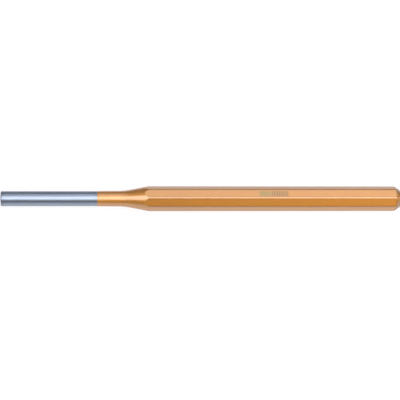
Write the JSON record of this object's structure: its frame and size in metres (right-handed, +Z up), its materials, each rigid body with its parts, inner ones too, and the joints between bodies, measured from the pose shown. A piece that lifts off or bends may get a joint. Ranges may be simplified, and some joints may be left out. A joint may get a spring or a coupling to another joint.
{
  "type": "pin punch",
  "caption": "Pin punch with a bright ground pin, a flared neck and a lacquered octagonal shank. Struck on its crowned end, it drives pins out of their holes.",
  "frame": {"origin": "centre of the flat working face at the pin's tip, on the punch's own axis", "axes": "+X runs along the punch from the working face to the struck end; +Z is up, out of the flat that faces up when the punch lies on a surface; +Y is level, out of a side flat"},
  "size_m": [0.21, 0.0122, 0.0122],
  "materials": {
    "bright_steel": "satin",
    "forged_steel": "matte",
    "copper_lacquer": "gloss"
  },
  "bodies": {
    "root": {"ground_pin": "bright_steel", "forged_shank": "forged_steel", "lacquer_coat": "copper_lacquer"}
  },
  "joints": []
}
